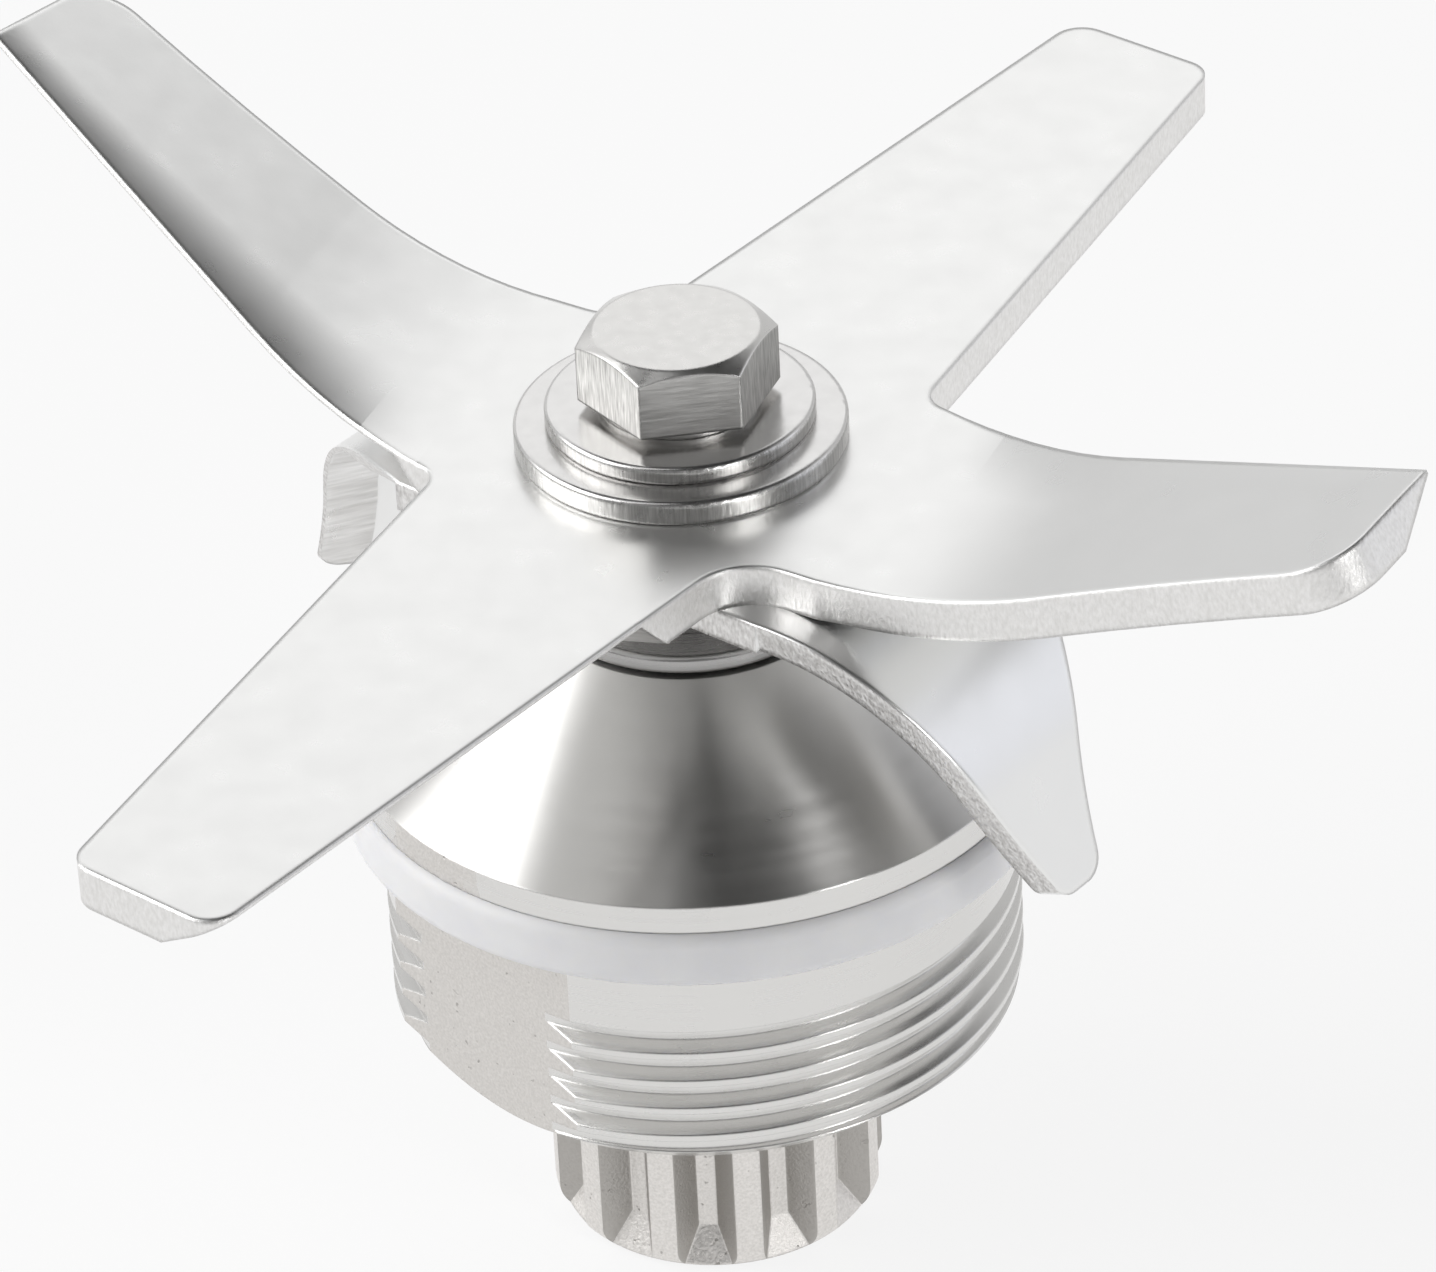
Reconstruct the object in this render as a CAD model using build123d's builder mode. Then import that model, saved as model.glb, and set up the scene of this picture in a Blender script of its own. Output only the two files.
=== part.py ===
from build123d import *
import os
from math import asin, copysign, cos, degrees, hypot, pi, radians, sin, tan

os.makedirs("parts", exist_ok=True)

# Blender blade assembly, in millimetres. The shaft axis is Z and the drive coupling's foot is at Z = 0.

# Lengths along the axis, from the foot upward
coupling_drop = 11.15
neck_length = 3.5
gasket_height = 2.8
flange_height = 1.3
cone_height = 6.25
slinger_gap = 0.2
slinger_height = 0.95
shoulder_height = 3.9
lower_blade_thickness = 1.5
upper_blade_thickness = 2.0
blade_washer_thickness = 1.2
bolt_washer_thickness = 0.9

# Fits
slide_fit = 0.02
running_fit = 0.03
keyed_fit = 0.05

# Housing, turned from a casting
housing_wall = 3.9
flange_overhang = 1.25
flange_edge_slope = 0.15
flat_depth = 1.35
flat_azimuth = -140.0
bottom_chamfer_width = 1.8
bottom_chamfer_height = 1.6
thread_pitch = 1.55
thread_depth = 0.65
thread_crest = 0.34
thread_flank_angle = 30
thread_runout_azimuth = 110
thread_runout_rise = 0.18
thread_start_drop = 1.0

# Gasket
gasket_width = 1.7
gasket_round = 0.6

# Ball bearings, 8 x 22 x 7
bearing_bore_radius = 4.0
inner_ring_wall = 1.9
ball_channel = 3.2
outer_ring_wall = 1.9
bearing_width = 7.0
race_depth = 0.384
race_clearance = 0.04
ball_count = 7
cage_wall = 1.2
cage_rim = 0.4
pocket_clearance = 0.1
shield_thickness = 0.3
shield_inset = 0.25
shield_overlap = 0.4
shield_gap = 0.3
ring_bore_chamfer = 0.3

# Spacers, retaining ring and shaft seal
spacer_length = 1.5
spacer_wall = 1.4
ring_inset = 1.25
ring_thickness = 1.0
ring_groove_depth = 0.5
ring_radial_width = 2.2
ring_lug_radius = 1.6
ring_lug_hole_radius = 0.9
ring_gap_angle = 40
bearing_relief_depth = 0.5
bearing_relief_width = 1.6
seal_seat_thickness = 0.6
seal_seat_width = 0.6
seal_wall = 0.8
seal_width = 1.5
seal_height = 2.8
seal_lip_height = 1.0
seal_recess = 0.65

# Shaft and slinger
sleeve_wall = 0.7
slinger_round = 0.3
shoulder_width = 1.0
drive_flat_depth = 0.8
boss_recess = 0.1
shaft_chamfer = 0.4
coupling_floor = 3.3
shaft_end_gap = 0.2

# Drive coupling, cast with twelve teeth
coupling_radius = 7.9
coupling_entry = 0.45
coupling_foot_round = 1.3
coupling_hub_wall = 1.4
tooth_count = 12
tooth_azimuth = 9.4
tooth_tip_width = 1.05
groove_floor_width = 0.9
groove_depth = 1.3
groove_ramp_height = 2.1
groove_ramp_foot = -0.6

# Hex bolt and washers, M5
bolt_radius = 2.5
bolt_length = 16.0
bolt_sides = 6
bolt_across_flats = 8.0
bolt_hex_height = 3.25
bolt_face_height = 0.45
bolt_face_inset = 0.3
bolt_top_inset = 0.26
bolt_crown_angle = 30
bolt_azimuth = 6.8
bolt_chamfer = 0.4
washer_hole_gap = 0.15
bolt_washer_radius = 6.15
blade_washer_radius = 7.6
washer_edge_round = 0.25

# Ground bevel of a cutting edge: what stays of the thickness, the length over which the grinding runs out
# towards the hub, the steps around a bend, and the width on each blade's underside
bevel_land = 0.2
bevel_runout = 1.9
bevel_steps = 6
upper_bevel_width = 3.2
lower_bevel_width = 2.2

# Upper blade, flat pair of arms, in a frame that turns with the arm
flat_arm_azimuth = 57.0
flat_lead_root = (13.26, 6.58)
flat_lead_tip = (41.7, 2.98)
flat_trail_tip = (40.6, -5.28)
flat_arm_corner = 1.5
flat_bevel_start = 13.9

# Upper blade, raised pair of arms: the first axis crosses the bend line at a right angle. Points on the
# sloping face are counted from the bend's end.
raised_azimuth = -24.3
raised_bend_start = 10.2
raised_bend_radius = 25.0
raised_bend_angle = 25.2
raised_lead_root_offset = 6.15
raised_trail_root_offset = -9.15
raised_lead_tip = (18.6, -7.2)
raised_trail_tip = (16.8, -14.9)
raised_trail_bow = 0.55
raised_arm_corner = 2.6
raised_bevel_start = -9.2
side_notch = (11.09, 2.15)
side_notch_round = 1.4
front_notch = (2.1, -10.2)
front_notch_round = 2.8

# Lower blade, both arms bent down, described in the same way
lower_azimuth = -40.0
lower_bend_start = 10.4
lower_bend_radius = 10.9
lower_bend_angle = 69.5
lower_half_width = 8.0
lower_slope_length = 6.4
lower_lead_tip_offset = 0.6
lower_lead_bow = 1.5
lower_trail_tip_offset = -2.2
lower_trail_bow = 0.57
lower_tip_round = 1.2
lower_bevel_start = 5.0

# Heights that follow. The bearings and the seal set the housing's height, and the thread fills what is left.
ring_z = coupling_drop + ring_inset
lower_bearing_z = ring_z + ring_thickness
lower_bearing_top_z = lower_bearing_z + bearing_width
upper_bearing_z = lower_bearing_top_z + spacer_length
upper_bearing_top_z = upper_bearing_z + bearing_width
relief_top_z = upper_bearing_top_z + bearing_relief_depth
seal_z = relief_top_z + seal_seat_thickness
seal_top_z = seal_z + seal_height
housing_top_z = seal_top_z + seal_recess
cone_z = housing_top_z - cone_height
flange_z = cone_z - flange_height
gasket_z = flange_z - gasket_height
neck_z = gasket_z - neck_length
slinger_z = housing_top_z + slinger_gap
shoulder_z = slinger_z + slinger_height
blade_seat_z = shoulder_z + shoulder_height
upper_blade_z = blade_seat_z + lower_blade_thickness
washer_z = upper_blade_z + upper_blade_thickness
bolt_washer_z = washer_z + blade_washer_thickness
bolt_seat_z = bolt_washer_z + bolt_washer_thickness
coupling_top_z = coupling_drop + coupling_entry

# Radii that follow, from the shaft outward
shaft_radius = bearing_bore_radius - slide_fit
shoulder_radius = bearing_bore_radius + shoulder_width
sleeve_radius = bearing_bore_radius + sleeve_wall
coupling_hub_radius = bearing_bore_radius + coupling_hub_wall
seal_radius = sleeve_radius + seal_width
seal_seat_radius = seal_radius - seal_seat_width
cone_top_radius = seal_radius + seal_wall
inner_land_radius = bearing_bore_radius + inner_ring_wall
pitch_radius = inner_land_radius + ball_channel / 2
outer_land_radius = inner_land_radius + ball_channel
bearing_outer_radius = outer_land_radius + outer_ring_wall
bearing_relief_radius = bearing_outer_radius - bearing_relief_width
neck_radius = bearing_outer_radius + housing_wall
flat_distance = neck_radius - flat_depth
flange_radius = neck_radius + flange_overhang
cone_base_radius = flange_radius - flange_edge_slope
gasket_radius = neck_radius + gasket_width
ball_radius = ball_channel / 2 + race_depth
race_radius = ball_radius + race_clearance
shield_outer_radius = outer_land_radius + shield_overlap
washer_hole_radius = bolt_radius + washer_hole_gap


def write(piece, name):
    piece.part.label = name
    export_step(piece.part, f"parts/{name}.step")


def turned(points):
    # Revolves a closed profile of (radius, height) points about the shaft axis.
    with BuildPart() as body:
        with BuildSketch(Plane.XZ):
            with BuildLine():
                Polyline(*points, close=True)
            make_face()
        revolve(axis=Axis.Z)
    return body.part


def disc(radius, low, high):
    with BuildPart() as body:
        with BuildSketch(Plane.XY.offset(low)):
            Circle(radius)
        extrude(amount=high - low)
    return body.part


def ring_between(inner, outer, low, high):
    with BuildPart() as body:
        with BuildSketch(Plane.XY.offset(low)):
            Circle(outer)
            Circle(inner, mode=Mode.SUBTRACT)
        extrude(amount=high - low)
    return body.part


def turned_frame(azimuth, height):
    # A level frame on the shaft axis whose first axis points along the azimuth.
    angle = radians(azimuth)
    return Plane(origin=(0, 0, height), x_dir=(cos(angle), sin(angle), 0), z_dir=(0, 0, 1))


def to_level(azimuth, point):
    # Takes a point from an arm's turned frame to the plan of the whole blade.
    angle = radians(azimuth)
    return (point[0] * cos(angle) - point[1] * sin(angle), point[0] * sin(angle) + point[1] * cos(angle))


def opposite(point):
    return (-point[0], -point[1])


def bevel_section(face, bend_radius, point, heading):
    # The plane square to a cutting edge at a point of the sheet's top face, which may lie in the bend. The
    # bend's radius is positive where the sheet bends up.
    turn = asin(max(-point[0], 0) / abs(bend_radius))
    lean = copysign(sin(turn), bend_radius)
    lift = bend_radius * (1 - cos(turn))
    along = face.x_dir * cos(turn) - face.z_dir * lean
    normal = face.z_dir * cos(turn) + face.x_dir * lean
    outward = along * heading[0] + face.y_dir * heading[1] * cos(turn)
    return Plane(
        origin=face.from_local_coords((point[0], point[1], lift)),
        x_dir=outward.cross(normal),
        z_dir=outward,
    )


def ground_bevel(sections, length, thickness, width):
    # A wedge that grinds the underside along a cutting edge. Its depth comes in over the first two sections,
    # it follows the others around the bend, and then it runs straight on.
    slope = (thickness - bevel_land) / width
    spill = width / 2
    reach = width + spill
    drops = [thickness] + [0] * (len(sections) - 1)
    with BuildPart() as wedge:
        for section, drop in zip(sections, drops):
            with BuildSketch(section):
                with BuildLine():
                    Polyline(
                        (-spill, drop + bevel_land - slope * spill),
                        (reach, drop + bevel_land + slope * reach),
                        (-spill, drop + bevel_land + slope * reach),
                        close=True,
                    )
                make_face()
        loft(ruled=True)
        far_face = wedge.faces().sort_by(Axis(sections[-1].origin, sections[-1].z_dir))[-1]
        extrude(far_face, amount=length + width)
    return wedge.part


# Bearing housing: cone, flange, neck and thread in one turned casting with two wrench flats
housing_profile = [
    (seal_radius, housing_top_z),
    (cone_top_radius, housing_top_z),
    (cone_base_radius, cone_z),
    (flange_radius, flange_z),
    (neck_radius, flange_z),
    (neck_radius, coupling_drop + bottom_chamfer_height),
    (neck_radius - bottom_chamfer_width, coupling_drop),
    (bearing_outer_radius, coupling_drop),
    (bearing_outer_radius, ring_z),
    (bearing_outer_radius + ring_groove_depth, ring_z),
    (bearing_outer_radius + ring_groove_depth, lower_bearing_z),
    (bearing_outer_radius, lower_bearing_z),
    (bearing_outer_radius, upper_bearing_top_z),
    (bearing_relief_radius, upper_bearing_top_z),
    (bearing_relief_radius, relief_top_z),
    (seal_seat_radius, relief_top_z),
    (seal_seat_radius, seal_z),
    (seal_radius, seal_z),
]
groove_half = (thread_pitch - thread_crest) / 2
groove_spill = thread_depth / 2
flank_run = tan(radians(thread_flank_angle))
floor_half = groove_half - thread_depth * flank_run
spill_half = groove_half + groove_spill * flank_run
coil_start_z = coupling_drop - thread_start_drop
coil_height = neck_z + thread_runout_rise - coil_start_z
coil_azimuth = thread_runout_azimuth - 360 * coil_height / thread_pitch
coil = Helix(thread_pitch, coil_height, neck_radius, center=(0, 0, coil_start_z)).rotate(Axis.Z, coil_azimuth)
with BuildPart() as bearing_housing:
    add(turned(housing_profile))
    with BuildSketch(Plane(origin=coil @ 0, x_dir=turned_frame(coil_azimuth, 0).x_dir, z_dir=coil % 0)):
        with BuildLine():
            Polyline(
                (groove_spill, -spill_half),
                (-thread_depth, -floor_half),
                (-thread_depth, floor_half),
                (groove_spill, spill_half),
                close=True,
            )
        make_face()
    sweep(path=coil, is_frenet=True, mode=Mode.SUBTRACT)
    for side in (0, 180):
        with BuildSketch(turned_frame(flat_azimuth + side, coupling_drop)):
            with Locations((flat_distance, 0)):
                Rectangle(neck_radius, 2 * neck_radius, align=(Align.MIN, Align.CENTER))
        extrude(amount=gasket_z - coupling_drop, mode=Mode.SUBTRACT)
write(bearing_housing, "bearing_housing")

# Silicone gasket that seals the flange against the jar
with BuildPart() as jar_gasket:
    add(ring_between(neck_radius + slide_fit, gasket_radius, gasket_z, flange_z))
    outer_edges = jar_gasket.edges().filter_by(GeomType.CIRCLE).sort_by(SortBy.RADIUS)[-2:]
    fillet(outer_edges, gasket_round)
write(jar_gasket, "jar_gasket")


# Two deep-groove ball bearings
def outer_ring(low, name):
    with BuildPart() as ring:
        add(ring_between(outer_land_radius, bearing_outer_radius - slide_fit, low, low + bearing_width))
        seat = shield_inset + shield_thickness
        for seat_low in (low, low + bearing_width - seat):
            add(disc(shield_outer_radius + slide_fit, seat_low, seat_low + seat), mode=Mode.SUBTRACT)
        with Locations((0, 0, low + bearing_width / 2)):
            Torus(pitch_radius, race_radius, mode=Mode.SUBTRACT)
    write(ring, name)


def inner_ring(low, name):
    with BuildPart() as ring:
        add(ring_between(bearing_bore_radius, inner_land_radius, low, low + bearing_width))
        chamfer(ring.edges().filter_by(GeomType.CIRCLE).group_by(SortBy.RADIUS)[0], ring_bore_chamfer)
        with Locations((0, 0, low + bearing_width / 2)):
            Torus(pitch_radius, race_radius, mode=Mode.SUBTRACT)
    write(ring, name)


def ball_set(low, name):
    with BuildPart() as balls:
        with Locations((0, 0, low + bearing_width / 2)):
            with PolarLocations(pitch_radius, ball_count):
                Sphere(ball_radius)
    write(balls, name)


def ball_cage(low, name):
    middle = low + bearing_width / 2
    pocket_radius = ball_radius + pocket_clearance
    cage_half = pocket_radius + cage_rim
    with BuildPart() as cage:
        cage_inner = pitch_radius - cage_wall / 2
        add(ring_between(cage_inner, cage_inner + cage_wall, middle - cage_half, middle + cage_half))
        with Locations((0, 0, middle)):
            with PolarLocations(pitch_radius, ball_count):
                Cylinder(pocket_radius, ball_radius * 2, rotation=(0, 90, 0), mode=Mode.SUBTRACT)
    write(cage, name)


def shield_pair(low, name):
    lower_shield = low + shield_inset
    upper_shield = low + bearing_width - shield_inset - shield_thickness
    with BuildPart() as shields:
        for shield_low in (lower_shield, upper_shield):
            shield_high = shield_low + shield_thickness
            add(ring_between(inner_land_radius + shield_gap, shield_outer_radius, shield_low, shield_high))
    write(shields, name)


for place, low in (("lower", lower_bearing_z), ("upper", upper_bearing_z)):
    outer_ring(low, f"{place}_bearing_outer_ring")
    inner_ring(low, f"{place}_bearing_inner_ring")
    ball_set(low, f"{place}_bearing_balls")
    ball_cage(low, f"{place}_bearing_cage")
    shield_pair(low, f"{place}_bearing_shields")

# Spacers that keep the bearings apart
with BuildPart() as outer_spacer:
    spacer_outer = bearing_outer_radius - slide_fit
    add(ring_between(spacer_outer - spacer_wall, spacer_outer, lower_bearing_top_z, upper_bearing_z))
write(outer_spacer, "outer_spacer")

with BuildPart() as inner_spacer:
    spacer_radius = bearing_bore_radius + spacer_wall
    add(ring_between(bearing_bore_radius, spacer_radius, lower_bearing_top_z, upper_bearing_z))
write(inner_spacer, "inner_spacer")

# Retaining ring below the lower bearing, with two lugs beside its gap
ring_outer = bearing_outer_radius + ring_groove_depth - slide_fit
ring_inner = ring_outer - ring_radial_width
with BuildPart() as retaining_ring:
    with BuildSketch(Plane.XY.offset(ring_z)):
        Circle(ring_outer)
        Circle(ring_inner, mode=Mode.SUBTRACT)
        with BuildLine():
            gap_reach = 2 * ring_outer
            gap_half = radians(ring_gap_angle / 2)
            gap_far = (gap_reach * cos(gap_half), gap_reach * sin(gap_half))
            Polyline((0, 0), gap_far, (gap_far[0], -gap_far[1]), close=True)
        make_face(mode=Mode.SUBTRACT)
        lug_turn = ring_gap_angle / 2 + degrees(ring_lug_radius / ring_inner)
        for turn in (lug_turn, -lug_turn):
            with Locations(to_level(turn, (ring_inner, 0))):
                Circle(ring_lug_radius)
                Circle(ring_lug_hole_radius, mode=Mode.SUBTRACT)
    extrude(amount=ring_thickness)
write(retaining_ring, "retaining_ring")

# Shaft seal with a lip that runs on the slinger's sleeve
with BuildPart() as shaft_seal:
    seal_bore = sleeve_radius + running_fit
    lip_relief = (seal_radius + seal_bore) / 2
    seal_profile = [
        (seal_bore, seal_top_z),
        (seal_radius - slide_fit, seal_top_z),
        (seal_radius - slide_fit, seal_z),
        (lip_relief, seal_z),
        (seal_bore, seal_top_z - seal_lip_height),
    ]
    add(turned(seal_profile))
write(shaft_seal, "shaft_seal")

# Slinger disc on its sleeve, clamped between the shaft's shoulder and the upper bearing
with BuildPart() as slinger:
    add(ring_between(bearing_bore_radius, cone_top_radius, slinger_z, shoulder_z))
    rim = slinger.edges().filter_by(GeomType.CIRCLE).group_by(SortBy.RADIUS)[-1]
    fillet(rim, slinger_round)
    add(ring_between(bearing_bore_radius, sleeve_radius, upper_bearing_top_z, slinger_z))
write(slinger, "slinger")


def drive_boss(low, high, margin):
    # A round boss with two flats. With a margin it is the cutter for the blades' hole.
    with BuildPart() as body:
        with BuildSketch(Plane.XY.offset(low)):
            Circle(bearing_bore_radius + margin)
            boss_width = 2 * (bearing_bore_radius + margin)
            flat_width = boss_width - 2 * drive_flat_depth
            Rectangle(boss_width, flat_width, rotation=lower_azimuth, mode=Mode.INTERSECT)
        extrude(amount=high - low)
    return body.part


# Drive shaft: journal, shoulder under the blades and a boss with two flats that drives them
boss_top_z = washer_z - boss_recess
shaft_end_z = coupling_floor + shaft_end_gap
bolt_hole_depth = bolt_length - (bolt_seat_z - boss_top_z) + shaft_end_gap
with BuildPart() as drive_shaft:
    add(disc(shaft_radius, shaft_end_z, shoulder_z))
    chamfer(drive_shaft.faces().sort_by(Axis.Z)[0].edges(), shaft_chamfer)
    add(disc(shoulder_radius, shoulder_z, blade_seat_z))
    add(drive_boss(blade_seat_z, boss_top_z, 0))
    add(disc(bolt_radius + slide_fit, boss_top_z - bolt_hole_depth, boss_top_z), mode=Mode.SUBTRACT)
write(drive_shaft, "drive_shaft")

# One groove between two teeth: straight flanks, a narrow floor and a ramp that runs out near the foot
groove_root = coupling_radius - groove_depth
groove_open_half = coupling_radius * sin(radians(180 / tooth_count)) - tooth_tip_width / 2
flank_rise = (groove_open_half - groove_floor_width / 2) / groove_depth
groove_reach = coupling_radius + groove_depth
groove_reach_half = groove_floor_width / 2 + flank_rise * (groove_reach - groove_root)
with BuildPart() as tooth_groove:
    with BuildSketch(Plane.XY):
        with BuildLine():
            Polyline(
                (groove_root, -groove_floor_width / 2),
                (groove_root, groove_floor_width / 2),
                (groove_reach, groove_reach_half),
                (groove_reach, -groove_reach_half),
                close=True,
            )
        make_face()
    extrude(amount=coupling_top_z + groove_depth)
    with BuildSketch(Plane.XZ):
        with BuildLine():
            Polyline(
                (groove_root, coupling_top_z + groove_depth),
                (groove_root, groove_ramp_height),
                (coupling_radius, groove_ramp_foot),
                (groove_reach, groove_ramp_foot),
                (groove_reach, coupling_top_z + groove_depth),
                close=True,
            )
        make_face()
    extrude(amount=groove_reach, both=True, mode=Mode.INTERSECT)

with BuildPart() as drive_coupling:
    with BuildSketch(Plane.XY):
        Circle(coupling_radius)
    extrude(amount=coupling_top_z)
    fillet(drive_coupling.faces().sort_by(Axis.Z)[0].edges(), coupling_foot_round)
    first_groove = tooth_azimuth - 90 + 180 / tooth_count
    with PolarLocations(0, tooth_count, start_angle=first_groove):
        add(tooth_groove.part, mode=Mode.SUBTRACT)
    add(disc(coupling_hub_radius, coupling_top_z, lower_bearing_z))
    add(disc(bearing_bore_radius, coupling_floor, lower_bearing_z), mode=Mode.SUBTRACT)
write(drive_coupling, "drive_coupling")

# A raised arm of the upper blade: a sheet bent along a line, with edges cut square to its sloping face
raised_angle = radians(raised_bend_angle)
raised_bend_end = raised_bend_start + raised_bend_radius * sin(raised_angle)
raised_bend_rise = raised_bend_radius * (1 - cos(raised_angle))
raised_root = -raised_bend_radius * sin(raised_angle)
raised_reach = raised_lead_tip[0] + raised_arm_corner
raised_frame = turned_frame(raised_azimuth, washer_z)
raised_section = Plane(origin=raised_frame.origin, x_dir=raised_frame.x_dir, z_dir=-raised_frame.y_dir)
raised_face = Plane(
    origin=raised_frame.from_local_coords((raised_bend_end, 0, raised_bend_rise)),
    x_dir=raised_frame.x_dir * cos(raised_angle) + raised_frame.z_dir * sin(raised_angle),
    z_dir=raised_frame.z_dir * cos(raised_angle) - raised_frame.x_dir * sin(raised_angle),
)
raised_lead_run = raised_lead_tip[0] - raised_root
raised_lead_slope = (raised_lead_tip[1] - raised_lead_root_offset) / raised_lead_run
with BuildPart() as raised_arm:
    with BuildSketch(raised_section):
        with BuildLine():
            rise_bend = RadiusArc(
                (raised_bend_start, 0), (raised_bend_end, raised_bend_rise), -raised_bend_radius
            )
            rise_top = PolarLine(rise_bend @ 1, raised_reach, raised_bend_angle)
            rise_end = PolarLine(rise_top @ 1, upper_blade_thickness, raised_bend_angle - 90)
            rise_under = PolarLine(rise_end @ 1, raised_reach, raised_bend_angle + 180)
            rise_under_bend = RadiusArc(
                rise_under @ 1,
                (raised_bend_start, -upper_blade_thickness),
                raised_bend_radius + upper_blade_thickness,
            )
            Line(rise_under_bend @ 1, rise_bend @ 0)
        make_face()
    extrude(amount=raised_reach, both=True)
    with BuildSketch(raised_face):
        with BuildLine():
            raised_lead_root = (raised_root, raised_lead_root_offset)
            raised_trail_root = (raised_root, raised_trail_root_offset)
            Line(raised_lead_root, raised_lead_tip)
            Line(raised_lead_tip, raised_trail_tip)
            SagittaArc(raised_trail_tip, raised_trail_root, -raised_trail_bow)
            Polyline(
                raised_trail_root,
                (raised_root - upper_blade_thickness, raised_trail_root_offset),
                (raised_root - upper_blade_thickness, raised_lead_root_offset),
                raised_lead_root,
            )
        make_face()
        fillet(vertices().sort_by(Axis.Y)[0], raised_arm_corner)
    extrude(amount=raised_bend_radius, both=True, mode=Mode.INTERSECT)
    raised_sections = []
    raised_steps = [raised_bevel_start * (1 - i / bevel_steps) for i in range(bevel_steps + 1)]
    for step in (raised_bevel_start - bevel_runout, *raised_steps):
        step_point = (step, raised_lead_root_offset + raised_lead_slope * (step - raised_root))
        raised_sections.append(
            bevel_section(raised_face, raised_bend_radius, step_point, (1, raised_lead_slope))
        )
    raised_length = raised_lead_tip[0] * hypot(1, raised_lead_slope)
    raised_wedge = ground_bevel(raised_sections, raised_length, upper_blade_thickness, upper_bevel_width)
    add(raised_wedge, mode=Mode.SUBTRACT)

# Upper blade: hub and flat arms from one outline, with the raised arms joined at their bend lines
with BuildPart() as upper_blade:
    with BuildSketch(Plane.XY.offset(upper_blade_z)):
        half_outline = [
            to_level(raised_azimuth, (raised_bend_start, raised_lead_root_offset)),
            side_notch,
            to_level(flat_arm_azimuth, flat_trail_tip),
            to_level(flat_arm_azimuth, flat_lead_tip),
            opposite(front_notch),
            opposite(to_level(raised_azimuth, (raised_bend_start, raised_trail_root_offset))),
        ]
        with BuildLine():
            Polyline(*half_outline, *[opposite(point) for point in half_outline], close=True)
        make_face()
        for corner, size in (
            (half_outline[1], side_notch_round),
            (half_outline[2], flat_arm_corner),
            (half_outline[3], flat_arm_corner),
            (half_outline[4], front_notch_round),
        ):
            for point in (corner, opposite(corner)):
                fillet(vertices().sort_by_distance((*point, 0))[0], size)
    extrude(amount=upper_blade_thickness)
    for turn in (0, 180):
        flat_face = turned_frame(flat_arm_azimuth + turn, washer_z)
        flat_run = flat_lead_tip[0] - flat_lead_root[0]
        flat_slope = (flat_lead_tip[1] - flat_lead_root[1]) / flat_run
        start_offset = flat_lead_root[1] + flat_slope * (flat_bevel_start - flat_lead_root[0])
        flat_section = bevel_section(
            flat_face, upper_blade_thickness, (flat_bevel_start, start_offset), (1, flat_slope)
        )
        flat_sections = [flat_section.offset(-bevel_runout), flat_section]
        flat_length = (flat_lead_tip[0] - flat_bevel_start) * hypot(1, flat_slope)
        flat_wedge = ground_bevel(flat_sections, flat_length, upper_blade_thickness, upper_bevel_width)
        add(flat_wedge, mode=Mode.SUBTRACT)
        add(raised_arm.part.rotate(Axis.Z, turn))
    add(drive_boss(upper_blade_z, washer_z, keyed_fit), mode=Mode.SUBTRACT)
write(upper_blade, "upper_blade")

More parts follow.
